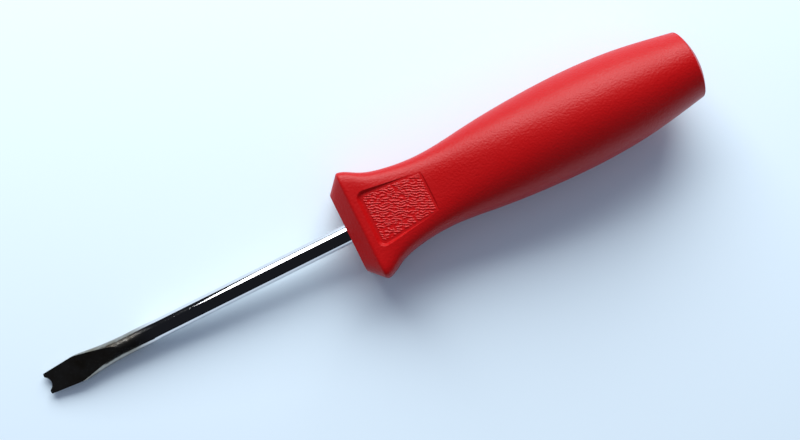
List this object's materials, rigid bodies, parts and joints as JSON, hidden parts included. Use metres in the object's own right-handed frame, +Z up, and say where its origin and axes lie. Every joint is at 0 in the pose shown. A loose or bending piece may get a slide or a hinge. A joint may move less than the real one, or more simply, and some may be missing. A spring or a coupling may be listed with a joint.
{
  "type": "notched-tip pry driver",
  "caption": "Hand tool with a red moulded handle, a flared guard with textured thumb recesses, and a round steel shank ending in a flat blade with a notched tip.",
  "frame": {"origin": "centre of the footprint on the surface that the tool lies on", "axes": "+X from the notched tip towards the butt, +Y across the tool, +Z up out of the guard's upper flat"},
  "size_m": [0.1961, 0.0312, 0.0279],
  "materials": {
    "handle_plastic": "semi-gloss with a fine moulded grain",
    "plated_steel": "bright plated shank, duller forged blade"
  },
  "bodies": {
    "root": {"handle": "handle_plastic", "shaft": "plated_steel"}
  },
  "joints": []
}
